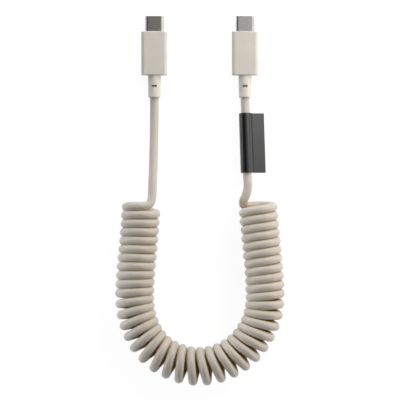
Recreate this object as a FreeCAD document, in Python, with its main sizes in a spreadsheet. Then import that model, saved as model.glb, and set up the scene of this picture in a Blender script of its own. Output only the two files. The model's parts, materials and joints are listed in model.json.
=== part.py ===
"""A curly charging cable: a USB-C plug on each end, a coil bent into a U, a tag on one lead.

Millimetres. X runs across the two plugs, Y along them towards their tips, and Z up from
the surface that the cable lies on. The origin is on that surface, midway between the plugs.
Each plug is drawn in a frame of its own: y = 0 where the cord leaves it, +y to its tip,
z = 0 on its middle plane.
"""
import FreeCAD, Part
import math
import os

import Sketcher
from FreeCAD import Matrix, Placement, Rotation, Vector

SIZES = [
    # Layout
    ("plug_spacing", 39.5),
    ("exit_distance", 17.8),
    # Cord, coil and tag
    ("cord_diameter", 3.8),
    ("coil_diameter", 16.6),
    ("tag_gap", 6.8),
    ("tag_length", 26.1),
    ("tag_sleeve_diameter", 5.75),
    ("tag_bore_clearance", 0.06),
    ("tag_reach", 8.35),
    ("tag_flag_thickness", 1.3),
    ("tag_edge_radius", 0.3),
    ("tag_droop_degrees", 17.0),
    # Grip and strain relief
    ("grip_width", 11.4),
    ("grip_height", 6.4),
    ("grip_length", 19.0),
    ("grip_corner_radius", 1.6),
    ("grip_end_radius", 0.35),
    ("grip_rear_wall", 1.0),
    ("relief_length", 9.8),
    ("relief_diameter", 5.4),
    ("relief_root_diameter", 5.6),
    ("relief_neck_diameter", 4.8),
    ("relief_taper_length", 5.0),
    ("relief_rim_radius", 0.5),
    ("relief_flange_width", 9.0),
    ("relief_flange_height", 4.4),
    ("relief_flange_length", 1.8),
    ("relief_flange_radius", 1.0),
    ("pin_mark_width", 0.95),
    ("pin_mark_length", 0.92),
    ("pin_mark_rib", 0.22),
    ("pin_mark_depth", 0.6),
    ("pin_mark_place", 5.0),
    ("moulding_fit", 0.03),
    # Plug shell and insulator
    ("shell_width", 8.25),
    ("shell_height", 2.4),
    ("shell_wall", 0.25),
    ("shell_exposed", 6.8),
    ("shell_embed", 4.0),
    ("shell_lip_radius", 0.15),
    ("insulator_recess", 0.35),
    ("insulator_fit", 0.03),
    ("slot_side_wall", 0.445),
    ("tongue_height", 0.9),
    ("tongue_depth", 5.4),
    # Contacts
    ("contact_pitch", 0.5),
    ("contact_width", 0.25),
    ("contact_thickness", 0.14),
    ("contact_height", 0.48),
    ("contact_crown", 0.34),
    ("contact_setback", 2.6),
    ("contact_tail", 1.6),
    ("channel_clearance", 0.04),
    # Side latch between the two rows of contacts
    ("latch_thickness", 0.2),
    ("latch_side_gap", 0.255),
    ("latch_arm_width", 0.24),
    ("latch_hook", 0.26),
    ("latch_setback", 1.4),
    ("latch_bridge", 0.8),
    ("latch_clearance", 0.05),
    # Grounding springs behind the mouth
    ("spring_width", 5.6),
    ("spring_thickness", 0.1),
    ("spring_gap", 0.05),
    ("spring_base", 0.7),
    ("spring_reach", 0.38),
    ("spring_setback", 0.9),
    ("spring_finger_gap", 0.4),
    ("spring_finger_margin", 0.2),
    # Paddle card, marker chip, conductors
    ("card_width", 7.4),
    ("card_tongue_width", 6.4),
    ("card_tongue_length", 2.2),
    ("card_end_gap", 0.45),
    ("card_thickness", 0.6),
    ("card_gap", 0.15),
    ("chip_side", 2.0),
    ("chip_height", 0.55),
    ("wire_diameter", 0.8),
    ("wire_clearance", 0.02),
    ("wire_lap", 2.4),
    ("wire_fan", 1.8),
    ("wire_bundle_pitch", 0.96),
    ("wire_pad_pitch", 2.2),
    # Shield can and its crimp on the cord
    ("can_side_gap", 0.375),
    ("can_top_gap", 0.75),
    ("can_corner_radius", 0.6),
    ("can_wall", 0.2),
    ("can_overlap", 1.2),
    ("crimp_length", 2.4),
    ("crimp_gap", 0.8),
    ("crimp_grip", 1.0),
]

CONTACTS_PER_ROW = 12
CONTACTS_PER_SIDE = 5
SPRING_FINGERS = 4
# Share of the strain relief's wall that its round rim may take up
RIM_SHARE = 0.8
# Conductors on the card's upper and lower face: the side, and places in steps from the middle
WIRE_ROWS = ((1, (-1, 0, 1)), (-1, (-0.6, 0.6)))
# Share of the shorter run that each arc of a cord takes up
ARC_SHARE = 0.45
VOLUME_TOLERANCE = 0.002
LEVEL_TOLERANCE = 1e-6

doc = FreeCAD.newDocument("usb_c_cable")
sheet = doc.addObject("Spreadsheet::Sheet", "Sizes")
for row, (name, value) in enumerate(SIZES, start=1):
    sheet.set(f"A{row}", name)
    sheet.set(f"B{row}", str(value))
    sheet.setAlias(f"B{row}", name)
doc.recompute()


def size(name):
    """A size from the sheet, for the solids that Part's own functions make."""
    return float(sheet.get(name))


# Places along a plug, as expressions on the sheet
REAR = "Sizes.relief_length"
FRONT = "(Sizes.relief_length + Sizes.grip_length)"
TIP = "(Sizes.relief_length + Sizes.grip_length + Sizes.shell_exposed)"
SEAT = "(Sizes.relief_length + Sizes.grip_length - Sizes.shell_embed)"
CAN_FRONT = f"({SEAT} + Sizes.can_overlap)"
FLANGE_REAR = f"({REAR} + Sizes.grip_rear_wall)"
FLANGE_FRONT = f"({FLANGE_REAR} + Sizes.relief_flange_length)"
CRIMP_REAR = f"({FLANGE_FRONT} + Sizes.crimp_gap)"
CAN_REAR = f"({CRIMP_REAR} + Sizes.crimp_length)"
CAN_LENGTH = f"({CAN_FRONT} - {CAN_REAR})"
JACKET_END = f"({CRIMP_REAR} + Sizes.crimp_grip)"
CARD_FRONT = f"({SEAT} - Sizes.card_gap)"
CARD_REAR = f"({CAN_REAR} + Sizes.can_wall + Sizes.card_end_gap)"
MOUTH = f"({TIP} - Sizes.insulator_recess)"
CONTACT_TOP = "(Sizes.contact_height + Sizes.contact_thickness)"
INSULATOR_WIDTH = "(Sizes.shell_width - 2 * (Sizes.shell_wall + Sizes.insulator_fit))"
INSULATOR_HEIGHT = "(Sizes.shell_height - 2 * (Sizes.shell_wall + Sizes.insulator_fit))"
SLOT_SIDE = f"({INSULATOR_WIDTH} / 2 - Sizes.slot_side_wall)"
SPRING_SEAT = "(Sizes.shell_height / 2 - Sizes.shell_wall - Sizes.spring_gap - Sizes.spring_thickness)"
SPRING_FINGERS_WIDTH = "(Sizes.spring_width - 2 * Sizes.spring_finger_margin)"
SPRING_PITCH = f"(({SPRING_FINGERS_WIDTH} + Sizes.spring_finger_gap) / {SPRING_FINGERS})"
CAN_WIDTH = "(Sizes.shell_width + 2 * (Sizes.can_side_gap + Sizes.can_wall))"
CAN_HEIGHT = "(Sizes.shell_height + 2 * (Sizes.can_top_gap + Sizes.can_wall))"
LATCH_OUTSIDE = "(Sizes.shell_width / 2 - Sizes.shell_wall - Sizes.latch_side_gap)"
LATCH_INSIDE = f"({LATCH_OUTSIDE} - Sizes.latch_arm_width)"
CORD_BORE = "(Sizes.cord_diameter + 2 * Sizes.moulding_fit)"
CRIMP_DIAMETER = f"({CORD_BORE} + 2 * Sizes.can_wall)"


# Sketches

def new_body(label):
    body = doc.addObject("PartDesign::Body", label)
    body.Label = label
    body.AllowCompound = True
    return body


def origin_feature(body, role):
    """One of the body's own planes or axes."""
    return next(feature for feature in body.Origin.OriginFeatures if feature.Role == role)


def new_sketch(body, role, offset="0"):
    """A sketch on one of the body's own planes, moved along that plane's normal."""
    sketch = body.newObject("Sketcher::SketchObject", f"{body.Label}_sketch")
    sketch.AttachmentSupport = (origin_feature(body, role), [""])
    sketch.MapMode = "FlatFace"
    sketch.setExpression("AttachmentOffset.Base.z", offset)
    return sketch


def section(body, place):
    """A sketch across the plug at y = place. Its own x and y are the plug's x and z."""
    return new_sketch(body, "XZ_Plane", f"-({place})")


def constrain(sketch, kind, *parts, bound=None):
    """Add a constraint and, where it has a size, bind it to an expression."""
    if bound is None:
        sketch.addConstraint(Sketcher.Constraint(kind, *parts))
        return
    index = sketch.addConstraint(Sketcher.Constraint(kind, *parts, sketch.evalExpression(bound)))
    sketch.setExpression(f"Constraints[{index}]", bound)


def polygon(sketch, corners):
    """A closed outline of straight lines, each corner a pair of expressions."""
    points = [Vector(sketch.evalExpression(x), sketch.evalExpression(y), 0) for x, y in corners]
    first = sketch.GeometryCount
    count = len(points)
    for index in range(count):
        sketch.addGeometry(Part.LineSegment(points[index], points[(index + 1) % count]))
    for index in range(count):
        line = first + index
        constrain(sketch, "Coincident", line, 2, first + (index + 1) % count, 1)
        constrain(sketch, "DistanceX", -1, 1, line, 1, bound=corners[index][0])
        constrain(sketch, "DistanceY", -1, 1, line, 1, bound=corners[index][1])


def rectangle(sketch, left, right, low, high):
    polygon(sketch, [(left, low), (right, low), (right, high), (left, high)])


def circle(sketch, diameter):
    radius = sketch.evalExpression(diameter) / 2
    ring = sketch.addGeometry(Part.Circle(Vector(0, 0, 0), Vector(0, 0, 1), radius))
    constrain(sketch, "Coincident", ring, 3, -1, 1)
    constrain(sketch, "Diameter", ring, bound=diameter)


def corner_arc(sketch, x, y, radius, angles):
    """An arc about (x, y) between two angles in degrees."""
    first, last = (math.radians(angle) for angle in angles)
    ring = Part.Circle(Vector(x, y, 0), Vector(0, 0, 1), radius)
    return sketch.addGeometry(Part.ArcOfCircle(ring, first, last))


def stadium(sketch, width, height):
    """A slot outline with full round ends, centred on the origin."""
    radius = sketch.evalExpression(height) / 2
    reach = sketch.evalExpression(width) / 2 - radius
    right = corner_arc(sketch, reach, 0, radius, (-90, 90))
    left = corner_arc(sketch, -reach, 0, radius, (90, 270))
    top = sketch.addGeometry(Part.LineSegment(Vector(reach, radius, 0), Vector(-reach, radius, 0)))
    foot = sketch.addGeometry(Part.LineSegment(Vector(-reach, -radius, 0), Vector(reach, -radius, 0)))
    for before, after in ((right, top), (top, left), (left, foot), (foot, right)):
        constrain(sketch, "Tangent", before, 2, after, 1)
    constrain(sketch, "Horizontal", top)
    constrain(sketch, "Equal", right, left)
    constrain(sketch, "Symmetric", right, 3, left, 3, -1, 1)
    constrain(sketch, "Radius", right, bound=f"{height} / 2")
    constrain(sketch, "DistanceX", left, 3, right, 3, bound=f"{width} - {height}")


def rounded_rectangle(sketch, width, height, radius):
    """A rectangle with four equal round corners, centred on the origin."""
    bend = sketch.evalExpression(radius)
    x = sketch.evalExpression(width) / 2 - bend
    y = sketch.evalExpression(height) / 2 - bend
    arcs = [
        corner_arc(sketch, x, y, bend, (0, 90)),
        corner_arc(sketch, -x, y, bend, (90, 180)),
        corner_arc(sketch, -x, -y, bend, (180, 270)),
        corner_arc(sketch, x, -y, bend, (270, 360)),
    ]
    ends = [
        (Vector(x, y + bend, 0), Vector(-x, y + bend, 0)),
        (Vector(-x - bend, y, 0), Vector(-x - bend, -y, 0)),
        (Vector(-x, -y - bend, 0), Vector(x, -y - bend, 0)),
        (Vector(x + bend, -y, 0), Vector(x + bend, y, 0)),
    ]
    lines = [sketch.addGeometry(Part.LineSegment(start, end)) for start, end in ends]
    for index in range(4):
        constrain(sketch, "Tangent", arcs[index], 2, lines[index], 1)
        constrain(sketch, "Tangent", lines[index], 2, arcs[(index + 1) % 4], 1)
        constrain(sketch, ("Horizontal", "Vertical")[index % 2], lines[index])
    for arc in arcs[1:]:
        constrain(sketch, "Equal", arcs[0], arc)
    constrain(sketch, "Symmetric", arcs[0], 3, arcs[2], 3, -1, 1)
    constrain(sketch, "Radius", arcs[0], bound=radius)
    constrain(sketch, "DistanceX", arcs[1], 3, arcs[0], 3, bound=f"{width} - 2 * {radius}")
    constrain(sketch, "DistanceY", arcs[2], 3, arcs[1], 3, bound=f"{height} - 2 * {radius}")


# Features

def pad(body, sketch, length, symmetric=False, toward_tip=True):
    """Extrude a sketch: along the plug towards its tip, or to both sides of its plane."""
    feature = body.newObject("PartDesign::Pad", f"{body.Label}_pad")
    feature.Profile = sketch
    feature.setExpression("Length", length)
    if symmetric:
        feature.SideType = "Symmetric"
    else:
        feature.Reversed = toward_tip
    doc.recompute()
    return feature


def pocket(body, sketch, length, flip=False):
    """Cut along the plug towards its tip, or to the other side of the sketch's plane."""
    before = body.Shape.Volume
    feature = body.newObject("PartDesign::Pocket", f"{body.Label}_pocket")
    feature.Profile = sketch
    feature.setExpression("Length", length)
    feature.Reversed = flip
    doc.recompute()
    if not body.Shape.Volume < before:
        raise RuntimeError(f"{feature.Label} cuts nothing")
    return feature


def fillet_ring(body, base, place, radius):
    """Round the edges of a feature that lie across the plug at y = place."""
    level = base.evalExpression(place)
    ring = []
    for number, edge in enumerate(base.Shape.Edges, start=1):
        box = edge.BoundBox
        if abs(box.YMin - level) < LEVEL_TOLERANCE and abs(box.YMax - level) < LEVEL_TOLERANCE:
            ring.append(f"Edge{number}")
    feature = body.newObject("PartDesign::Fillet", f"{body.Label}_fillet")
    feature.Base = (base, ring)
    feature.setExpression("Radius", radius)
    doc.recompute()
    return feature


def repeat(body, original, direction, spacing, count):
    """A row of copies of one feature along an axis of its sketch."""
    feature = body.newObject("PartDesign::LinearPattern", f"{body.Label}_pattern")
    feature.Originals = [original]
    feature.Direction = direction
    feature.Occurrences = count
    feature.setExpression("Length", f"{spacing} * {count - 1}")
    body.Tip = feature
    doc.recompute()
    return feature


def mirror(body, originals):
    """The same features again on the other side of the plug's middle plane."""
    feature = body.newObject("PartDesign::Mirrored", f"{body.Label}_mirror")
    feature.Originals = originals
    feature.MirrorPlane = (origin_feature(body, "XY_Plane"), [""])
    body.Tip = feature
    doc.recompute()
    return feature


# Pieces of one plug

def make_shell(label):
    """Drawn steel shell, a flat tube with full round sides and a rolled lip."""
    body = new_body(label)
    outside = section(body, SEAT)
    stadium(outside, "Sizes.shell_width", "Sizes.shell_height")
    tube = pad(body, outside, f"{TIP} - {SEAT}")
    fillet_ring(body, tube, TIP, "Sizes.shell_lip_radius")
    inside = section(body, SEAT)
    walls = "2 * Sizes.shell_wall"
    stadium(inside, f"(Sizes.shell_width - {walls})", f"(Sizes.shell_height - {walls})")
    pocket(body, inside, f"{TIP} - {SEAT}")
    return body


def make_insulator(label):
    """Moulded insulator: a slot for the tongue, contact channels, latch slots, spring seats."""
    body = new_body(label)
    outside = section(body, SEAT)
    stadium(outside, INSULATOR_WIDTH, INSULATOR_HEIGHT)
    pad(body, outside, f"{MOUTH} - {SEAT}")

    slot = section(body, f"{MOUTH} - Sizes.tongue_depth")
    half_height = "Sizes.tongue_height / 2"
    rectangle(slot, f"-{SLOT_SIDE}", SLOT_SIDE, f"-{half_height}", half_height)
    pocket(body, slot, "Sizes.tongue_depth")

    half_slot = "(Sizes.latch_thickness / 2 + Sizes.latch_clearance)"
    slot_inside = f"({LATCH_INSIDE} - Sizes.latch_clearance)"
    slot_outside = INSULATOR_WIDTH
    arms = section(body, SEAT)
    rectangle(arms, slot_inside, slot_outside, f"-{half_slot}", half_slot)
    rectangle(arms, f"-{slot_outside}", f"-{slot_inside}", f"-{half_slot}", half_slot)
    pocket(body, arms, f"{TIP} - Sizes.latch_setback + Sizes.latch_clearance - {SEAT}")
    bridge = section(body, SEAT)
    rectangle(bridge, f"-{slot_inside}", slot_inside, f"-{half_slot}", half_slot)
    pocket(body, bridge, "Sizes.latch_bridge + 2 * Sizes.latch_clearance")

    seat_side = "(Sizes.spring_width / 2 + Sizes.latch_clearance)"
    seat_rear = f"{TIP} - Sizes.spring_setback - 2 * Sizes.spring_base"
    window_rear = f"{TIP} - Sizes.spring_setback - Sizes.spring_base - 2 * Sizes.latch_clearance"
    window_front = f"{TIP} - Sizes.spring_setback + Sizes.latch_clearance"
    seat = new_sketch(body, "XY_Plane", SPRING_SEAT)
    rectangle(seat, f"-{seat_side}", seat_side, f"{seat_rear} - Sizes.latch_clearance", window_front)
    seat_cut = pocket(body, seat, "Sizes.shell_height", flip=True)
    window = new_sketch(body, "XY_Plane", f"{half_height} / 2")
    rectangle(window, f"-{seat_side}", seat_side, window_rear, window_front)
    window_cut = pocket(body, window, "Sizes.shell_height", flip=True)
    mirror(body, [seat_cut, window_cut])

    channel = section(body, SEAT)
    half_channel = "(Sizes.contact_width / 2 + Sizes.channel_clearance)"
    start = f"-Sizes.contact_pitch * {CONTACTS_PER_ROW - 1} / 2"
    low = "(Sizes.contact_height - Sizes.channel_clearance)"
    high = f"({CONTACT_TOP} + Sizes.channel_clearance)"
    left, right = f"{start} - {half_channel}", f"{start} + {half_channel}"
    rectangle(channel, left, right, low, high)
    rectangle(channel, left, right, f"-{high}", f"-{low}")
    reach = f"{TIP} - Sizes.contact_setback + Sizes.channel_clearance - {SEAT}"
    channel_cut = pocket(body, channel, reach)
    repeat(body, channel_cut, (channel, ["H_Axis"]), "Sizes.contact_pitch", CONTACTS_PER_ROW)
    return body


def contact_outline(side):
    """Side view of one contact: sprung crown in the slot, stem in its channel, tail on the card."""
    card_face = "Sizes.card_thickness / 2"
    front = f"{TIP} - Sizes.contact_setback"
    slope = "2 * Sizes.contact_thickness"
    stations = [
        (front, "Sizes.contact_crown + Sizes.contact_thickness / 2"),
        (f"{front} - 2 * {slope}", "Sizes.contact_crown"),
        (f"{front} - 4 * {slope}", "Sizes.contact_crown + Sizes.contact_thickness / 2"),
        (f"{MOUTH} - Sizes.tongue_depth + {slope}", "Sizes.contact_height"),
        (f"{SEAT}", "Sizes.contact_height"),
        (f"{SEAT} - {slope}", card_face),
        (f"{SEAT} - Sizes.contact_tail", card_face),
    ]
    under = [(place, f"{side} * ({level})") for place, level in stations]
    over = [(place, f"{side} * ({level} + Sizes.contact_thickness)") for place, level in stations]
    return under + over[::-1]


def make_contact_row(label, side, groups):
    """One row of stamped contacts, as groups of (first place from the middle, count)."""
    body = new_body(label)
    for first, count in groups:
        sketch = new_sketch(body, "YZ_Plane", f"Sizes.contact_pitch * {first}")
        polygon(sketch, contact_outline(side))
        contact = pad(body, sketch, "Sizes.contact_width", symmetric=True)
        repeat(body, contact, (origin_feature(body, "X_Axis"), [""]), "Sizes.contact_pitch", count)
    return body


def make_latch(label):
    """Flat steel latch: a bridge at the back and two sprung side arms with hooked ends."""
    body = new_body(label)
    hook = f"({LATCH_INSIDE} - Sizes.latch_hook)"
    rear = f"{SEAT} + Sizes.latch_clearance"
    front = f"{TIP} - Sizes.latch_setback"
    half = [
        (LATCH_OUTSIDE, rear),
        (LATCH_OUTSIDE, f"{front} - Sizes.latch_hook"),
        (LATCH_INSIDE, front),
        (hook, f"{front} - 2 * Sizes.latch_hook"),
        (hook, f"{front} - 3 * Sizes.latch_hook"),
        (LATCH_INSIDE, f"{front} - 4 * Sizes.latch_hook"),
        (LATCH_INSIDE, f"{rear} + Sizes.latch_bridge"),
    ]
    other_half = [(f"-{x}", y) for x, y in reversed(half)]
    sketch = new_sketch(body, "XY_Plane")
    polygon(sketch, half + other_half)
    pad(body, sketch, "Sizes.latch_thickness", symmetric=True)
    return body


def make_ground_spring(label, side):
    """Grounding spring: a strip under the shell with fingers that bend into the slot."""
    body = new_body(label)
    low, high = SPRING_SEAT, f"({SPRING_SEAT} + Sizes.spring_thickness)"
    front = f"{TIP} - Sizes.spring_setback - Sizes.latch_clearance"
    bend = f"{front} - Sizes.spring_base"
    rear = f"{front} - 2 * Sizes.spring_base + 2 * Sizes.latch_clearance"
    crown = f"{front} - Sizes.spring_base / 3"
    crown_low, crown_high = "Sizes.spring_reach", "(Sizes.spring_reach + Sizes.spring_thickness)"
    end_low = f"({crown_high})"
    end_high = f"({crown_high} + Sizes.spring_thickness)"

    strip = new_sketch(body, "YZ_Plane")
    strip_outline = [(rear, low), (bend, low), (bend, high), (rear, high)]
    polygon(strip, [(y, f"{side} * {z}") for y, z in strip_outline])
    pad(body, strip, "Sizes.spring_width", symmetric=True)

    start = f"-{SPRING_PITCH} * {SPRING_FINGERS - 1} / 2"
    finger = new_sketch(body, "YZ_Plane", start)
    outline = [
        (bend, low), (crown, crown_low), (front, end_low), (front, end_high),
        (crown, crown_high), (f"{bend} + Sizes.spring_thickness", high), (bend, high),
    ]
    polygon(finger, [(y, f"{side} * {z}") for y, z in outline])
    first = pad(body, finger, f"{SPRING_PITCH} - Sizes.spring_finger_gap", symmetric=True)
    repeat(body, first, (origin_feature(body, "X_Axis"), [""]), SPRING_PITCH, SPRING_FINGERS)
    return body


def make_paddle_card(label):
    """Circuit card that the contact tails straddle, narrower where they sit."""
    body = new_body(label)
    neck = f"{CARD_FRONT} - Sizes.card_tongue_length"
    half = [
        ("Sizes.card_width / 2", CARD_REAR),
        ("Sizes.card_width / 2", neck),
        ("Sizes.card_tongue_width / 2", neck),
        ("Sizes.card_tongue_width / 2", CARD_FRONT),
    ]
    sketch = new_sketch(body, "XY_Plane")
    polygon(sketch, half + [(f"-{x}", y) for x, y in reversed(half)])
    pad(body, sketch, "Sizes.card_thickness", symmetric=True)
    return body


def make_marker_chip(label):
    """Cable marker chip on the card of one plug."""
    chip = doc.addObject("Part::Box", label)
    chip.Label = label
    chip.setExpression("Length", "Sizes.chip_side")
    chip.setExpression("Width", "Sizes.chip_side")
    chip.setExpression("Height", "Sizes.chip_height")
    return chip


def make_shield_can(label):
    """Folded sheet can over the card, with a round crimp on the end of the cord."""
    body = new_body(label)
    outside = section(body, CAN_REAR)
    rounded_rectangle(outside, CAN_WIDTH, CAN_HEIGHT, "Sizes.can_corner_radius")
    pad(body, outside, CAN_LENGTH)
    crimp = section(body, CRIMP_REAR)
    circle(crimp, CRIMP_DIAMETER)
    pad(body, crimp, "Sizes.crimp_length")

    hollow = section(body, f"{CAN_REAR} + Sizes.can_wall")
    rounded_rectangle(
        hollow,
        f"({CAN_WIDTH} - 2 * Sizes.can_wall)",
        f"({CAN_HEIGHT} - 2 * Sizes.can_wall)",
        "(Sizes.can_corner_radius - Sizes.can_wall)",
    )
    pocket(body, hollow, f"{CAN_LENGTH} - 2 * Sizes.can_wall")
    bore = section(body, CRIMP_REAR)
    circle(bore, CORD_BORE)
    pocket(body, bore, "Sizes.crimp_length + 2 * Sizes.can_wall")
    mouth = section(body, f"{CAN_FRONT} - 2 * Sizes.can_wall")
    fit = "2 * Sizes.moulding_fit"
    stadium(mouth, f"(Sizes.shell_width + {fit})", f"(Sizes.shell_height + {fit})")
    pocket(body, mouth, "3 * Sizes.can_wall")
    return body


def make_grip(label):
    """Moulded grip: a block with round long edges, hollow to fit what is moulded into it."""
    body = new_body(label)
    outside = section(body, REAR)
    rounded_rectangle(outside, "Sizes.grip_width", "Sizes.grip_height", "Sizes.grip_corner_radius")
    block = pad(body, outside, "Sizes.grip_length")
    front_round = fillet_ring(body, block, FRONT, "Sizes.grip_end_radius")
    fillet_ring(body, front_round, REAR, "Sizes.grip_end_radius")
    fit = "2 * Sizes.moulding_fit"

    neck = section(body, REAR)
    circle(neck, f"Sizes.relief_neck_diameter + {fit}")
    pocket(body, neck, "Sizes.grip_rear_wall")
    flange = section(body, FLANGE_REAR)
    rounded_rectangle(
        flange,
        f"(Sizes.relief_flange_width + {fit})",
        f"(Sizes.relief_flange_height + {fit})",
        "(Sizes.relief_flange_radius + Sizes.moulding_fit)",
    )
    pocket(body, flange, "Sizes.relief_flange_length + Sizes.moulding_fit")
    cord = section(body, FLANGE_REAR)
    circle(cord, CORD_BORE)
    pocket(body, cord, f"{CAN_REAR} - {FLANGE_REAR}")
    crimp = section(body, f"{CRIMP_REAR} - Sizes.moulding_fit")
    circle(crimp, f"{CRIMP_DIAMETER} + {fit}")
    pocket(body, crimp, "Sizes.crimp_length + Sizes.moulding_fit")
    can = section(body, f"{CAN_REAR} - Sizes.moulding_fit")
    rounded_rectangle(
        can,
        f"({CAN_WIDTH} + {fit})",
        f"({CAN_HEIGHT} + {fit})",
        "(Sizes.can_corner_radius + Sizes.moulding_fit)",
    )
    pocket(body, can, f"{CAN_LENGTH} + {fit}")
    shell = section(body, CAN_FRONT)
    stadium(shell, f"(Sizes.shell_width + {fit})", f"(Sizes.shell_height + {fit})")
    pocket(body, shell, f"{FRONT} - {CAN_FRONT}")
    return body


def make_strain_relief(label):
    """Soft sleeve on the cord, keyed into the grip by a flange, with two pairs of pin marks."""
    body = new_body(label)
    profile = new_sketch(body, "XY_Plane")
    bore = f"{CORD_BORE} / 2"
    polygon(profile, [
        (bore, "0"),
        ("Sizes.relief_diameter / 2", "0"),
        ("Sizes.relief_diameter / 2", f"{REAR} - Sizes.relief_taper_length"),
        ("Sizes.relief_root_diameter / 2", REAR),
        ("Sizes.relief_neck_diameter / 2", REAR),
        ("Sizes.relief_neck_diameter / 2", FLANGE_REAR),
        (bore, FLANGE_REAR),
    ])
    sleeve = body.newObject("PartDesign::Revolution", f"{label}_sleeve")
    sleeve.Profile = profile
    sleeve.ReferenceAxis = (profile, ["V_Axis"])
    sleeve.Angle = 360
    doc.recompute()
    rim = outer_edge_at(sleeve, "0")
    rim_round = body.newObject("PartDesign::Fillet", f"{label}_rim")
    rim_round.Base = (sleeve, [rim])
    wall = f"(Sizes.relief_diameter / 2 - {bore})"
    rim_round.setExpression("Radius", f"min(Sizes.relief_rim_radius; {RIM_SHARE} * {wall})")
    doc.recompute()

    flange = section(body, FLANGE_REAR)
    rounded_rectangle(
        flange, "Sizes.relief_flange_width", "Sizes.relief_flange_height", "Sizes.relief_flange_radius")
    circle(flange, CORD_BORE)
    pad(body, flange, "Sizes.relief_flange_length")

    floor = "(Sizes.relief_diameter / 2 - Sizes.pin_mark_depth)"
    marks = new_sketch(body, "XY_Plane", floor)
    near, far = "Sizes.pin_mark_rib / 2", "(Sizes.pin_mark_rib / 2 + Sizes.pin_mark_width)"
    rear = "Sizes.pin_mark_place - Sizes.pin_mark_length / 2"
    front = "Sizes.pin_mark_place + Sizes.pin_mark_length / 2"
    rectangle(marks, near, far, rear, front)
    rectangle(marks, f"-{far}", f"-{near}", rear, front)
    cut = pocket(body, marks, "Sizes.relief_diameter", flip=True)
    mirror(body, [cut])
    return body


def outer_edge_at(feature, place):
    """The name of the largest edge of a feature across the plug at y = place."""
    level = feature.evalExpression(place)
    widest = None
    for number, edge in enumerate(feature.Shape.Edges, start=1):
        box = edge.BoundBox
        if abs(box.YMin - level) < LEVEL_TOLERANCE and abs(box.YMax - level) < LEVEL_TOLERANCE:
            if widest is None or box.XLength > widest[0]:
                widest = (box.XLength, f"Edge{number}")
    return widest[1]


def make_cord_end(label):
    """The cord's own jacket inside the plug, from its exit to the crimp."""
    stub = doc.addObject("Part::Cylinder", label)
    stub.Label = label
    stub.setExpression("Radius", "Sizes.cord_diameter / 2")
    stub.setExpression("Height", JACKET_END)
    return stub


def make_conductors(label):
    """Five insulated conductors that fan out from the jacket to the card's two faces."""
    jacket_end = sheet.evalExpression(JACKET_END)
    card_rear = sheet.evalExpression(CARD_REAR)
    diameter = size("wire_diameter")
    level = size("card_thickness") / 2 + diameter / 2 + size("wire_clearance")
    half_fan = size("wire_fan") / 2
    wires = []
    for side, places in WIRE_ROWS:
        for place in places:
            bundled = place * size("wire_bundle_pitch")
            spread = place * size("wire_pad_pitch")
            start = Vector(bundled, jacket_end, side * level)
            fan_start = Vector(bundled, card_rear - half_fan, side * level)
            fan_end = Vector(spread, card_rear + half_fan, side * level)
            end = Vector(spread, card_rear + size("wire_lap"), side * level)
            route = [start, fan_start, fan_end, end] if place else [start, end]
            wires.append(tube(label, route, diameter))
    feature = doc.addObject("Part::Feature", label)
    feature.Label = label
    feature.Shape = Part.makeCompound(wires)
    return feature


# Cord, coil and tag

def rounded_path(points):
    """Straight runs joined by tangent arcs, each arc as large as its two runs allow."""
    edges, radii = [], []
    last = points[0]
    for before, corner, after in zip(points, points[1:], points[2:]):
        back, ahead = before - corner, after - corner
        half_turn = (math.pi - back.getAngle(ahead)) / 2
        reach = ARC_SHARE * min(back.Length, ahead.Length)
        radius = reach / math.tan(half_turn)
        start = corner + back * (reach / back.Length)
        end = corner + ahead * (reach / ahead.Length)
        inward = back * (1 / back.Length) + ahead * (1 / ahead.Length)
        depth = radius / math.cos(half_turn) - radius
        middle = corner + inward * (depth / inward.Length)
        edges.append(Part.LineSegment(last, start).toShape())
        edges.append(Part.Arc(start, middle, end).toShape())
        radii.append(radius)
        last = end
    edges.append(Part.LineSegment(last, points[-1]).toShape())
    return Part.Wire(edges), radii


def tube(label, points, diameter):
    """A round tube along a route, its volume compared with its section times its length."""
    path, radii = rounded_path(points)
    ring = Part.Circle(points[0], points[1] - points[0], diameter / 2).toShape()
    solid = path.makePipeShell([Part.Wire([ring])], True, False)
    if solid.Volume < 0:
        solid.reverse()
    expected = math.pi * diameter ** 2 / 4 * path.Length
    if abs(solid.Volume - expected) > VOLUME_TOLERANCE * expected:
        raise RuntimeError(f"{label}: volume {solid.Volume:.3f}, expected {expected:.3f}")
    if radii:
        print(f"{label}: length {path.Length:.1f}, radii", [round(radius, 1) for radius in radii])
    return solid


def make_tube(label, points, diameter):
    feature = doc.addObject("Part::Feature", label)
    feature.Label = label
    feature.Shape = tube(label, points, diameter)
    return feature


# The coil's centre line, from the first plug's lead round the U to the second's
COIL_ROUTE = [
    (-25.35, -63.1), (-26.4, -79.0), (-28.2, -95.5), (-28.5, -112.0), (-20.8, -126.5), (-7.6, -134.9),
    (7.6, -134.9), (20.8, -126.5), (28.5, -112.0), (28.2, -95.5), (26.5, -79.0), (25.0, -62.9),
]

# Each lead between its plug and the coil: (x, y, height over the plug's middle plane)
LEAD_A_MIDDLE = [(-19.75, -24.0, 0.0), (-19.85, -35.0, 1.9), (-20.1, -46.5, 5.4)]
LEAD_B_MIDDLE = [(19.75, -19.0, 0.0), (20.75, -52.6, 2.9)]

# Where the leads meet the coil's end faces: (across, above the coil's centre line, last run)
LEAD_A_LANDING = (4.46, 2.9, 7.0)
LEAD_B_LANDING = (-5.4, -1.4, 4.5)


def coil_points():
    return [Vector(x, y, size("coil_diameter") / 2) for x, y in COIL_ROUTE]


def landing(end, inner, across, above, run):
    """The last two points of a lead, which meets the coil's end face square on."""
    inward = (inner - end).normalize()
    side = Vector(-inward.y, inward.x, 0)
    foot = end + side * across + Vector(0, 0, above)
    return [foot - inward * run, foot]


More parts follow.
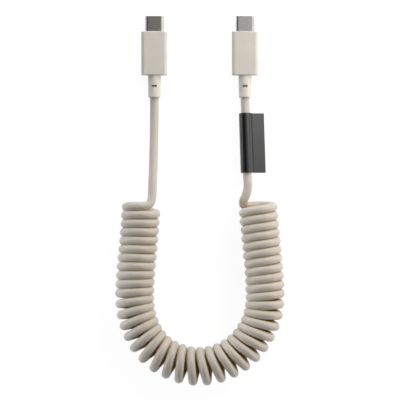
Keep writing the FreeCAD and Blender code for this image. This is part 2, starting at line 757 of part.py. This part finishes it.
def lead_points(sign, middle, coil_end, coil_inner, landing_sizes):
    height = size("grip_height") / 2
    leaves = Vector(sign * size("plug_spacing") / 2, -size("exit_distance"), height)
    between = [Vector(x, y, height + rise) for x, y, rise in middle]
    return [leaves] + between + landing(coil_end, coil_inner, *landing_sizes)


def make_tag(label, upper, lower):
    """Moulded tag on a straight stretch of lead: a round sleeve and a flat flag that droops to one side."""
    body = new_body(label)
    sleeve = new_sketch(body, "XY_Plane")
    circle(sleeve, "Sizes.tag_sleeve_diameter")
    pad(body, sleeve, "Sizes.tag_length", toward_tip=False)
    flag = new_sketch(body, "XY_Plane")
    half = "Sizes.tag_flag_thickness / 2"
    rectangle(flag, "0", "Sizes.tag_reach", f"-{half}", half)
    whole = pad(body, flag, "Sizes.tag_length", toward_tip=False)

    outer = []
    for number, edge in enumerate(whole.Shape.Edges, start=1):
        box = edge.BoundBox
        across_end = box.ZLength < LEVEL_TOLERANCE
        along_flag = abs(box.XMin - size("tag_reach")) < LEVEL_TOLERANCE
        if across_end or along_flag:
            outer.append(f"Edge{number}")
    rounding = body.newObject("PartDesign::Fillet", f"{label}_edges")
    rounding.Base = (whole, outer)
    rounding.setExpression("Radius", "Sizes.tag_edge_radius")
    doc.recompute()
    bore = new_sketch(body, "XY_Plane")
    circle(bore, "Sizes.cord_diameter + 2 * Sizes.tag_bore_clearance")
    pocket(body, bore, "Sizes.tag_length", flip=True)

    along = (upper - lower).normalize()
    level = Vector(along.y, -along.x, 0).normalize()
    across = Rotation(along, size("tag_droop_degrees")).multVec(level)
    out = along.cross(across)
    to_top = (upper.y + size("exit_distance") + size("tag_gap")) / along.y
    foot = upper - along * (to_top + size("tag_length"))
    frame = Matrix(
        across.x, out.x, along.x, foot.x,
        across.y, out.y, along.y, foot.y,
        across.z, out.z, along.z, foot.z,
        0, 0, 0, 1,
    )
    body.Placement = Placement(frame)
    print(f"{label}: slides along {tuple(round(part, 5) for part in along)} from {tuple(foot)}")
    return body


# The cable

parts = []


def place_in_plug(piece, sign, inner=None):
    """Put a piece that was drawn in the plug's frame where its plug lies."""
    base = inner or ("0", "0", "0")
    piece.setExpression("Placement.Base.x", f"{sign} * Sizes.plug_spacing / 2 + {base[0]}")
    piece.setExpression("Placement.Base.y", f"-Sizes.exit_distance + {base[1]}")
    piece.setExpression("Placement.Base.z", f"Sizes.grip_height / 2 + {base[2]}")
    parts.append(piece)


half_row = (CONTACTS_PER_ROW - 1) / 2
full_row = [(-half_row, CONTACTS_PER_ROW)]
split_row = [(-half_row, CONTACTS_PER_SIDE), (half_row - CONTACTS_PER_SIDE + 1, CONTACTS_PER_SIDE)]

for letter, sign in (("a", -1), ("b", 1)):
    plug = f"plug_{letter}"
    for piece in (
        make_shell(f"{plug}_shell"),
        make_insulator(f"{plug}_insulator"),
        make_contact_row(f"{plug}_contacts_upper", 1, full_row),
        make_contact_row(f"{plug}_contacts_lower", -1, split_row),
        make_latch(f"{plug}_latch"),
        make_ground_spring(f"{plug}_ground_spring_upper", 1),
        make_ground_spring(f"{plug}_ground_spring_lower", -1),
        make_paddle_card(f"{plug}_paddle_card"),
        make_shield_can(f"{plug}_shield_can"),
        make_conductors(f"{plug}_conductors"),
        make_grip(f"{plug}_grip"),
        make_strain_relief(f"{plug}_strain_relief"),
    ):
        place_in_plug(piece, sign)
    stub = make_cord_end(f"{plug}_cord_end")
    stub.Placement.Rotation = Rotation(Vector(1, 0, 0), -90)
    place_in_plug(stub, sign)

# The chip lies midway between the ends of the conductors and the contact tails
chip_side = "-Sizes.chip_side / 2"
chip_rear = f"({CARD_REAR} + Sizes.wire_lap + {SEAT} - Sizes.contact_tail - Sizes.chip_side) / 2"
chip_foot = "Sizes.card_thickness / 2"
place_in_plug(make_marker_chip("plug_a_marker_chip"), -1, (chip_side, chip_rear, chip_foot))

coil_line = coil_points()
lead_a = lead_points(-1, LEAD_A_MIDDLE, coil_line[0], coil_line[1], LEAD_A_LANDING)
lead_b = lead_points(1, LEAD_B_MIDDLE, coil_line[-1], coil_line[-2], LEAD_B_LANDING)
parts.append(make_tube("coil", coil_line, size("coil_diameter")))
parts.append(make_tube("lead_a", lead_a, size("cord_diameter")))
parts.append(make_tube("lead_b", lead_b, size("cord_diameter")))
parts.append(make_tag("tag", lead_b[1], lead_b[2]))

doc.recompute()
for item in doc.Objects:
    if "Invalid" in item.State or "Error" in item.State:
        raise RuntimeError(f"{item.Label} failed: {item.State}")
for piece in parts:
    if piece.Shape.isNull() or not piece.Shape.isValid():
        raise RuntimeError(f"{piece.Label} has no valid shape")

os.makedirs("parts", exist_ok=True)
for piece in parts:
    piece.Shape.exportStep(f"parts/{piece.Label}.step")
print(len(parts), "parts written")
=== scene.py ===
"""A curly charging cable on a white floor, seen from straight above.

Metres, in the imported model's frame: X across the two plugs, Y along them towards their tips
and Z up from the floor.
"""
import bisect
import json
import math

import bpy
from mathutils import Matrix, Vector


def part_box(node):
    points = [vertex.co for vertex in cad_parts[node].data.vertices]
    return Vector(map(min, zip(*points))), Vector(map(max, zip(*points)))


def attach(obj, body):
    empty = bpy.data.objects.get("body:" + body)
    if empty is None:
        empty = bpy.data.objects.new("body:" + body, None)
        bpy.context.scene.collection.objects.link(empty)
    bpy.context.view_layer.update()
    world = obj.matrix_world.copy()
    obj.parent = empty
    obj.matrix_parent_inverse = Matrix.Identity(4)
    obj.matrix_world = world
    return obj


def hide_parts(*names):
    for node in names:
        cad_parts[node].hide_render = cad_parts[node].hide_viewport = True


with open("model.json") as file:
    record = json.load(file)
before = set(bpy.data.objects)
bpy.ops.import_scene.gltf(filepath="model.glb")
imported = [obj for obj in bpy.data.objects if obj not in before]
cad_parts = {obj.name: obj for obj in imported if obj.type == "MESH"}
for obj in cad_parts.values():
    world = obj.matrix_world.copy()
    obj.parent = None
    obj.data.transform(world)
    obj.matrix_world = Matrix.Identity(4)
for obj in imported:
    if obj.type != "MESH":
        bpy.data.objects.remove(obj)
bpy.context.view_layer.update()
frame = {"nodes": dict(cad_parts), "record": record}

UP = Vector((0, 0, 1))

# Camera: the point under it, its height and the width that it takes in at the subject's height
VIEW_CENTRE = (0.00013, -0.0624)
VIEW_WIDTH = 0.174
CAMERA_HEIGHT = 1.2
SUBJECT_HEIGHT = 0.006

# Cord, and the steps that its curve takes from point to point and round its section
CORD_DIAMETER = 0.0038
CURVE_STEPS = 4
BEVEL_STEPS = 10

# The coil's centre line, from the first plug's lead round the U to the second's
COIL_HEIGHT = 0.0085
COIL_ROUTE = [
    (-0.0252, -0.0631), (-0.02624, -0.0790), (-0.02804, -0.0955), (-0.0284, -0.1120),
    (-0.02133, -0.1270), (-0.00755, -0.1347), (0.0075, -0.1345), (0.0208, -0.1265),
    (0.0286, -0.1120), (0.02828, -0.0955), (0.02658, -0.0790), (0.0251, -0.0629),
]
ROUTE_STEPS = 24

# The leads, each from its plug to the coil. The last point of each is where it bends into the turns
LEAD_A = [
    (-0.01975, -0.0178, 0.0032), (-0.01975, -0.0240, 0.0032), (-0.01985, -0.0350, 0.0051),
    (-0.0201, -0.0465, 0.0086), (-0.02044, -0.05641, 0.0114), (-0.02075, -0.0649, 0.0134),
]
LEAD_B = [
    (0.01975, -0.0178, 0.0032), (0.01975, -0.0190, 0.0032), (0.02056, -0.0461, 0.00554),
    (0.02075, -0.0526, 0.0061), (0.0212, -0.0582, 0.0070), (0.0176, -0.0652, 0.0072),
]

# Turns: an angle of 0 points inside the U, and 90 degrees points up
HELIX_RADIUS = 0.0066
POINTS_PER_TURN = 16
FIRST_ANGLE = math.radians(97)
LAST_ANGLE = math.radians(41 * 360 + 275)
# What is left free of turns at the two ends of the centre line
FIRST_GAP = 0.0020
LAST_GAP = 0.0019
# The turns keep their pitch along a line that runs this far inside the centre line at the bottom of
# the U, and nearer to it up the legs, so that they fan out most at the bottom
PITCH_LINE_OFFSET = 0.0072
# How far a turn's inner side leans ahead along the coil, and its outer side back
TURN_LEAN = 0.00014
# How far the turns shift along the coil at the bottom of the U, so that they stand more upright at
# their inner and outer sides, and how closely this keeps to the bottom
TURN_EASE = 0.00035
TURN_EASE_POWER = 4


def make_camera():
    """A camera that looks straight down."""
    data = bpy.data.cameras.new("camera")
    data.lens = data.sensor_width * (CAMERA_HEIGHT - SUBJECT_HEIGHT) / VIEW_WIDTH
    camera = bpy.data.objects.new("camera", data)
    camera.location = (*VIEW_CENTRE, CAMERA_HEIGHT)
    bpy.context.scene.collection.objects.link(camera)
    bpy.context.scene.camera = camera


# Cord

def nurbs_curve(name, points):
    """A curve of one open NURBS spline with the given control points."""
    data = bpy.data.curves.new(name, "CURVE")
    data.dimensions = "3D"
    spline = data.splines.new("NURBS")
    spline.points.add(len(points) - 1)
    for control, point in zip(spline.points, points):
        control.co = (*point, 1.0)
    spline.order_u = 3
    spline.use_endpoint_u = True
    curve = bpy.data.objects.new(name, data)
    bpy.context.scene.collection.objects.link(curve)
    return curve


def centre_line():
    """Points along the coil's centre line, read from the NURBS spline of its route."""
    guide = nurbs_curve("coil_guide", [(x, y, COIL_HEIGHT) for x, y in COIL_ROUTE])
    guide.data.resolution_u = ROUTE_STEPS
    mesh = bpy.data.meshes.new_from_object(guide)
    line = [vertex.co.copy() for vertex in mesh.vertices]
    bpy.data.meshes.remove(mesh)
    bpy.data.curves.remove(guide.data)
    return line


def pitch_marks(line, inward):
    """The length of the pitch line up to each point of the centre line."""
    pitch_line = []
    for index, (point, side) in enumerate(zip(line, inward)):
        offset = PITCH_LINE_OFFSET * math.sin(math.pi * index / len(line)) ** 2
        pitch_line.append(point + side * offset)
    marks = [0.0]
    for before, after in zip(pitch_line, pitch_line[1:]):
        marks.append(marks[-1] + (after - before).length)
    return marks


def coil_turns(line):
    """Control points of the turns round the coil's centre line."""
    along = [(after - before).normalized() for before, after in zip(line, line[1:])]
    along.append(along[-1])
    inward = [UP.cross(direction) for direction in along]
    marks = pitch_marks(line, inward)
    first_mark = FIRST_GAP
    last_mark = marks[-1] - LAST_GAP

    count = round((LAST_ANGLE - FIRST_ANGLE) / math.tau * POINTS_PER_TURN)
    # Control points lie outside the round that their spline makes
    radius = HELIX_RADIUS / math.cos(math.pi / POINTS_PER_TURN)
    points = []
    for index in range(count + 1):
        share = index / count
        angle = FIRST_ANGLE + share * (LAST_ANGLE - FIRST_ANGLE)
        mark = first_mark + share * (last_mark - first_mark)
        place = bisect.bisect_right(marks, mark) - 1
        part = (mark - marks[place]) / (marks[place + 1] - marks[place])
        centre = line[place].lerp(line[place + 1], part)
        direction = along[place].lerp(along[place + 1], part)
        side = inward[place].lerp(inward[place + 1], part)
        lean = TURN_LEAN * math.cos(angle)
        ease = TURN_EASE * math.sin(math.pi * share) ** TURN_EASE_POWER * math.sin(2 * angle)
        reach = radius * (math.cos(angle) * side + math.sin(angle) * UP)
        points.append(centre + reach + (lean - ease) * direction)
    return points


def make_cord():
    """The whole cord as one spline: the first lead, the turns and the second lead."""
    cord = nurbs_curve("cord", LEAD_A + coil_turns(centre_line()) + LEAD_B[::-1])
    cord.data.resolution_u = CURVE_STEPS
    cord.data.bevel_depth = 1.0
    for point in cord.data.splines[0].points:
        point.radius = CORD_DIAMETER / 2
    cord.data.bevel_resolution = BEVEL_STEPS
    cord.data.use_fill_caps = True
    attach(cord, "cable")
    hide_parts("lead_a", "coil", "lead_b")
    return cord


# Materials

# Most values of a noise texture lie between these two
NOISE_LOW = 0.3
NOISE_HIGH = 0.7
# The share of open view from which a surface has its plain colour, with no painted shade
OPEN_VIEW = 0.8
# A mix node's colour sockets, by index because its sockets for numbers have the same names
MIX_FIRST = 6
MIX_SECOND = 7
MIX_RESULT = 2


def linear(red, green, blue):
    """A colour from its 0 to 255 screen values, as shaders take it."""
    def channel(value):
        share = value / 255
        return share / 12.92 if share <= 0.04045 else ((share + 0.055) / 1.055) ** 2.4
    return (channel(red), channel(green), channel(blue), 1.0)


class Finish:
    """A procedural material: a Principled shader with noise on its colour, roughness and bump."""

    def __init__(self, name):
        self.material = bpy.data.materials.new(name)
        self.material.use_nodes = True
        self.tree = self.material.node_tree
        self.shader = self.tree.nodes["Principled BSDF"]
        self.place = self.tree.nodes.new("ShaderNodeTexCoord").outputs["Object"]

    def node(self, kind, **inputs):
        """A new node with the given input values, with underscores for the spaces in their names."""
        node = self.tree.nodes.new(kind)
        for name, value in inputs.items():
            node.inputs[name.replace("_", " ")].default_value = value
        return node

    def link(self, source, target):
        self.tree.links.new(source, target)

    def set(self, **inputs):
        """Give the shader plain input values."""
        for name, value in inputs.items():
            self.shader.inputs[name.replace("_", " ")].default_value = value

    def stretched(self, stretch):
        """Coordinates stretched along the axes, for drawn or brushed surfaces."""
        mapping = self.node("ShaderNodeMapping", Scale=stretch)
        self.link(self.place, mapping.inputs["Vector"])
        return mapping.outputs["Vector"]

    def noise(self, scale, detail=2.0, vector=None):
        noise = self.node("ShaderNodeTexNoise", Scale=scale, Detail=detail)
        self.link(vector or self.place, noise.inputs["Vector"])
        return noise.outputs["Fac"]

    def colour(self, factor, dark, light):
        ramp = self.node("ShaderNodeValToRGB")
        first, last = ramp.color_ramp.elements
        first.position = NOISE_LOW
        first.color = dark
        last.position = NOISE_HIGH
        last.color = light
        self.link(factor, ramp.inputs["Fac"])
        self.link(ramp.outputs["Color"], self.shader.inputs["Base Color"])

    def paint_crease_shade(self, painted_shade, reach, closed):
        """Paint shade into the colour in grooves, where the surface is close to itself.

        From the share of open view that is given as closed downwards, it has the painted shade's colour.
        """
        base = self.shader.inputs["Base Color"]
        plain = base.links[0].from_socket
        # Painted shade: ambient occlusion mixes a darker shade colour into the base colour in grooves and
        # hollows
        shelter = self.node("ShaderNodeAmbientOcclusion", Distance=reach)
        shelter.only_local = True
        open_share = self.node("ShaderNodeMapRange", From_Min=closed, From_Max=OPEN_VIEW)
        mix = self.node("ShaderNodeMix")
        mix.data_type = "RGBA"
        mix.inputs[MIX_FIRST].default_value = painted_shade
        self.link(shelter.outputs["AO"], open_share.inputs["Value"])
        self.link(open_share.outputs["Result"], mix.inputs["Factor"])
        self.link(plain, mix.inputs[MIX_SECOND])
        self.link(mix.outputs[MIX_RESULT], base)

    def roughness(self, factor, low, high):
        spread = self.node(
            "ShaderNodeMapRange", From_Min=NOISE_LOW, From_Max=NOISE_HIGH, To_Min=low, To_Max=high)
        self.link(factor, spread.inputs["Value"])
        self.link(spread.outputs["Result"], self.shader.inputs["Roughness"])

    def bump(self, height, strength, distance):
        bump = self.node("ShaderNodeBump", Strength=strength, Distance=distance)
        self.link(height, bump.inputs["Height"])
        self.link(bump.outputs["Normal"], self.shader.inputs["Normal"])


def cord_jacket():
    """Matt sand elastomer with a fine moulded grain."""
    finish = Finish("cord_jacket")
    finish.colour(finish.noise(scale=140), dark=linear(193, 183, 170), light=linear(199, 190, 178))
    # Painted shade: the colour turns olive-brown in the creases between the turns, where they shade each
    # other
    finish.paint_crease_shade(painted_shade=linear(196, 163, 88), reach=0.012, closed=0.05)
    finish.roughness(finish.noise(scale=900), low=0.42, high=0.52)
    finish.bump(finish.noise(scale=5200, detail=3.0), strength=0.12, distance=0.00003)
    finish.set(Sheen_Weight=0.5, Sheen_Roughness=0.35, Sheen_Tint=(0.93, 0.94, 1.0, 1.0))
    return finish.material


def strain_relief():
    """The cord's elastomer in a paler tone, moulded smoother."""
    finish = Finish("strain_relief")
    finish.colour(finish.noise(scale=180), dark=linear(221, 213, 202), light=linear(226, 219, 208))
    # Painted shade: the colour turns dark brown in the pin pockets and other hollows of the relief
    finish.paint_crease_shade(painted_shade=linear(112, 80, 40), reach=0.0008, closed=0.4)
    finish.roughness(finish.noise(scale=800), low=0.48, high=0.6)
    finish.bump(finish.noise(scale=4200, detail=3.0), strength=0.1, distance=0.00003)
    finish.set(Sheen_Weight=0.05, Sheen_Roughness=0.5)
    return finish.material


def grip():
    """Satin sand plastic with a fine spark-eroded texture."""
    finish = Finish("grip")
    finish.colour(finish.noise(scale=160), dark=linear(216, 208, 196), light=linear(221, 214, 203))
    finish.roughness(finish.noise(scale=1100), low=0.42, high=0.54)
    finish.bump(finish.noise(scale=6500, detail=4.0), strength=0.15, distance=0.00002)
    return finish.material


def plug_steel():
    """Drawn stainless steel with faint lines along the plug."""
    finish = Finish("plug_steel")
    lines = finish.noise(scale=9000, detail=3.0, vector=finish.stretched((1, 0.04, 1)))
    finish.colour(lines, dark=linear(194, 192, 189), light=linear(200, 198, 195))
    finish.roughness(lines, low=0.27, high=0.3)
    finish.bump(lines, strength=0.008, distance=0.00001)
    finish.set(Metallic=1.0)
    return finish.material


def spring_steel():
    """Rolled spring steel with faint lines across the plug."""
    finish = Finish("spring_steel")
    lines = finish.noise(scale=12000, detail=3.0, vector=finish.stretched((0.05, 1, 1)))
    finish.colour(lines, dark=linear(190, 189, 186), light=linear(204, 203, 200))
    finish.roughness(lines, low=0.2, high=0.3)
    finish.set(Metallic=1.0)
    return finish.material


def shield():
    """Tin-plated sheet, slightly cloudy."""
    finish = Finish("shield")
    cloud = finish.noise(scale=1500, detail=4.0)
    finish.colour(cloud, dark=linear(192, 192, 193), light=linear(209, 209, 210))
    finish.roughness(cloud, low=0.3, high=0.45)
    finish.set(Metallic=1.0)
    return finish.material


def contacts():
    """Gold plating."""
    finish = Finish("contacts")
    cloud = finish.noise(scale=4000)
    finish.colour(cloud, dark=linear(222, 184, 112), light=linear(236, 202, 134))
    finish.roughness(cloud, low=0.18, high=0.28)
    finish.set(Metallic=1.0)
    return finish.material


def insulator():
    """Black moulded plastic filled with glass fibre."""
    finish = Finish("insulator")
    finish.colour(finish.noise(scale=3000, detail=4.0), dark=linear(20, 20, 21), light=linear(30, 30, 31))
    finish.roughness(finish.noise(scale=2500), low=0.45, high=0.6)
    finish.bump(finish.noise(scale=8000, detail=3.0), strength=0.12, distance=0.00002)
    return finish.material


def circuit_card():
    """Green solder mask with the tracks showing through as a lighter tone."""
    finish = Finish("circuit_card")
    tracks = finish.noise(scale=1600, detail=1.0, vector=finish.stretched((1, 0.15, 1)))
    finish.colour(tracks, dark=linear(12, 62, 34), light=linear(22, 92, 50))
    finish.roughness(tracks, low=0.3, high=0.4)
    finish.bump(tracks, strength=0.2, distance=0.00002)
    return finish.material


def marker_chip():
    """Black chip moulding, duller than the insulator."""
    finish = Finish("marker_chip")
    finish.colour(finish.noise(scale=5000, detail=4.0), dark=linear(24, 24, 25), light=linear(36, 36, 37))
    finish.roughness(finish.noise(scale=4000), low=0.5, high=0.65)
    finish.bump(finish.noise(scale=9000, detail=3.0), strength=0.15, distance=0.00001)
    return finish.material


def conductors():
    """Coloured insulation: red above the card, white below it."""
    finish = Finish("conductors")
    split = finish.node("ShaderNodeSeparateXYZ")
    finish.link(finish.place, split.inputs["Vector"])
    lowest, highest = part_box("plug_a_grip")
    above = finish.node("ShaderNodeMath")
    above.operation = "GREATER_THAN"
    above.inputs[1].default_value = (lowest.z + highest.z) / 2
    finish.link(split.outputs["Z"], above.inputs[0])
    finish.colour(above.outputs["Value"], dark=linear(226, 224, 218), light=linear(176, 32, 28))
    finish.roughness(finish.noise(scale=1200), low=0.3, high=0.42)
    return finish.material


def tag():
    """Dark satin plastic with a fine texture."""
    finish = Finish("tag")
    finish.colour(finish.noise(scale=700, detail=3.0), dark=linear(10, 10, 11), light=linear(14, 14, 15))
    finish.roughness(finish.noise(scale=1000), low=0.28, high=0.32)
    finish.set(Specular_IOR_Level=0.85)
    finish.bump(finish.noise(scale=9000, detail=3.0), strength=0.02, distance=0.00001)
    return finish.material


def dress(cord):
    """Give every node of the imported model, and the cord, the material of its slot."""
    makers = (
        cord_jacket, strain_relief, grip, plug_steel, spring_steel, shield, contacts, insulator,
        circuit_card, marker_chip, conductors, tag,
    )
    materials = {maker.__name__: maker() for maker in makers}
    for part in frame["record"]["subparts"]:
        node = frame["nodes"][part["node"]]
        material = materials[part["material_slot"]]
        if node.material_slots:
            for slot in node.material_slots:
                slot.material = material
        else:
            node.data.materials.append(material)
    cord.data.materials.append(materials["cord_jacket"])


# Studio

# The floor lights the object as white paper. To the eye it is a glow and a dark paper that shadows
# fall on, so that it is white with faint shadows
FLOOR_SIZE = 4.0
FLOOR_PAPER = (0.92, 0.92, 0.93, 1)
FLOOR_GLOW = 0.93
FLOOR_SHADED = (0.15, 0.15, 0.15, 1)

# The surroundings fade from the one colour to the other between these heights on the unit sphere
HORIZON_HEIGHT = 0.05
HORIZON_COLOUR = (0.15, 0.15, 0.155, 1)
OVERHEAD_HEIGHT = 0.4
OVERHEAD_COLOUR = (0.05, 0.05, 0.052, 1)

# Lamps: how far off they stand, and the full spread of their light in degrees
LAMP_DISTANCE = 0.45
LAMP_SPREAD = 180


def floor_material():
    """White paper that glows to the eye and in reflections."""
    material = bpy.data.materials.new("floor")
    material.use_nodes = True
    tree = material.node_tree
    tree.nodes.clear()
    output = tree.nodes.new("ShaderNodeOutputMaterial")
    mix = tree.nodes.new("ShaderNodeMixShader")
    path = tree.nodes.new("ShaderNodeLightPath")
    seen = tree.nodes.new("ShaderNodeMath")
    seen.operation = "MAXIMUM"
    seen_through = tree.nodes.new("ShaderNodeMath")
    seen_through.operation = "MAXIMUM"
    paper = tree.nodes.new("ShaderNodeBsdfDiffuse")
    paper.inputs["Color"].default_value = FLOOR_PAPER
    shaded = tree.nodes.new("ShaderNodeBsdfDiffuse")
    shaded.inputs["Color"].default_value = FLOOR_SHADED
    glow = tree.nodes.new("ShaderNodeEmission")
    glow.inputs["Strength"].default_value = FLOOR_GLOW
    white = tree.nodes.new("ShaderNodeAddShader")
    tree.links.new(path.outputs["Is Camera Ray"], seen.inputs[0])
    tree.links.new(path.outputs["Is Glossy Ray"], seen.inputs[1])
    tree.links.new(seen.outputs["Value"], seen_through.inputs[0])
    tree.links.new(path.outputs["Is Transmission Ray"], seen_through.inputs[1])
    tree.links.new(glow.outputs["Emission"], white.inputs[0])
    tree.links.new(shaded.outputs["BSDF"], white.inputs[1])
    tree.links.new(seen_through.outputs["Value"], mix.inputs["Fac"])
    tree.links.new(paper.outputs["BSDF"], mix.inputs[1])
    tree.links.new(white.outputs["Shader"], mix.inputs[2])
    tree.links.new(mix.outputs["Shader"], output.inputs["Surface"])
    return material


def make_floor():
    """A white floor that takes the object's shadow."""
    half = FLOOR_SIZE / 2
    corners = [(-half, -half, 0), (half, -half, 0), (half, half, 0), (-half, half, 0)]
    mesh = bpy.data.meshes.new("floor")
    mesh.from_pydata(corners, [], [(0, 1, 2, 3)])
    floor = bpy.data.objects.new("floor", mesh)
    bpy.context.scene.collection.objects.link(floor)
    mesh.materials.append(floor_material())


def make_softbox(
        name, azimuth, elevation, size, radiance, colour,
        distance=LAMP_DISTANCE, aim=VIEW_CENTRE, spread=LAMP_SPREAD, mirrored=True):
    """A rectangular lamp that faces a point on the floor.

    Azimuth, from +X, and elevation say where it stands from that point, in degrees. A lamp that
    isn't mirrored shows in no reflection.
    """
    width, height = size
    data = bpy.data.lights.new(name, "AREA")
    data.shape = "RECTANGLE"
    data.size = width
    data.size_y = height
    data.energy = radiance * math.pi * width * height
    data.color = colour
    data.spread = math.radians(spread)
    lamp = bpy.data.objects.new(name, data)
    level = Vector((math.cos(math.radians(azimuth)), math.sin(math.radians(azimuth)), 0))
    outward = level * math.cos(math.radians(elevation)) + UP * math.sin(math.radians(elevation))
    lamp.location = Vector((*aim, 0)) + outward * distance
    lamp.rotation_euler = outward.to_track_quat("Z", "Y").to_euler()
    lamp.visible_camera = False
    lamp.visible_glossy = mirrored
    bpy.context.scene.collection.objects.link(lamp)


def make_lamps():
    """A key light from the upper right, with softer lamps round the object and overhead."""
    make_softbox(
        "key", azimuth=48, elevation=31, size=(0.3, 0.3), radiance=4.2, colour=(1.0, 0.99, 0.97))
    make_softbox(
        "top_softbox", azimuth=90, elevation=20, size=(0.5, 0.2), radiance=2.8, colour=(0.96, 0.98, 1.0))
    make_softbox(
        "left_softbox", azimuth=186, elevation=12, size=(0.14, 0.2), radiance=0.68,
        colour=(0.88, 0.92, 1.0), aim=(0.0, -0.115), spread=24, mirrored=False)
    make_softbox(
        "upper_left_softbox", azimuth=152, elevation=13, size=(0.35, 0.16), radiance=2.2,
        colour=(0.92, 0.95, 1.0))
    make_softbox(
        "right_softbox", azimuth=-20, elevation=14, size=(0.7, 0.2), radiance=2.1,
        colour=(1.0, 0.99, 0.98), aim=(0.0, -0.1))
    make_softbox(
        "right_panel", azimuth=0, elevation=40, size=(0.5, 0.16), radiance=1.05, colour=(1.0, 0.98, 0.94))
    make_softbox(
        "overhead_panel", azimuth=46, elevation=90, size=(0.26, 0.26), radiance=0.9,
        colour=(1.0, 1.0, 1.0), distance=0.3, aim=(0.13, 0.13))


def make_world():
    """Pale surroundings: light near the horizon, dimmer overhead."""
    world = bpy.data.worlds.new("studio")
    bpy.context.scene.world = world
    world.use_nodes = True
    tree = world.node_tree
    background = tree.nodes["Background"]
    place = tree.nodes.new("ShaderNodeTexCoord")
    split = tree.nodes.new("ShaderNodeSeparateXYZ")
    ramp = tree.nodes.new("ShaderNodeValToRGB")
    horizon, overhead = ramp.color_ramp.elements
    horizon.position = HORIZON_HEIGHT
    horizon.color = HORIZON_COLOUR
    overhead.position = OVERHEAD_HEIGHT
    overhead.color = OVERHEAD_COLOUR
    tree.links.new(place.outputs["Generated"], split.inputs["Vector"])
    tree.links.new(split.outputs["Z"], ramp.inputs["Fac"])
    tree.links.new(ramp.outputs["Color"], background.inputs["Color"])


make_camera()
cord = make_cord()
dress(cord)
make_floor()
make_lamps()
make_world()
bpy.context.scene.view_settings.view_transform = "Standard"
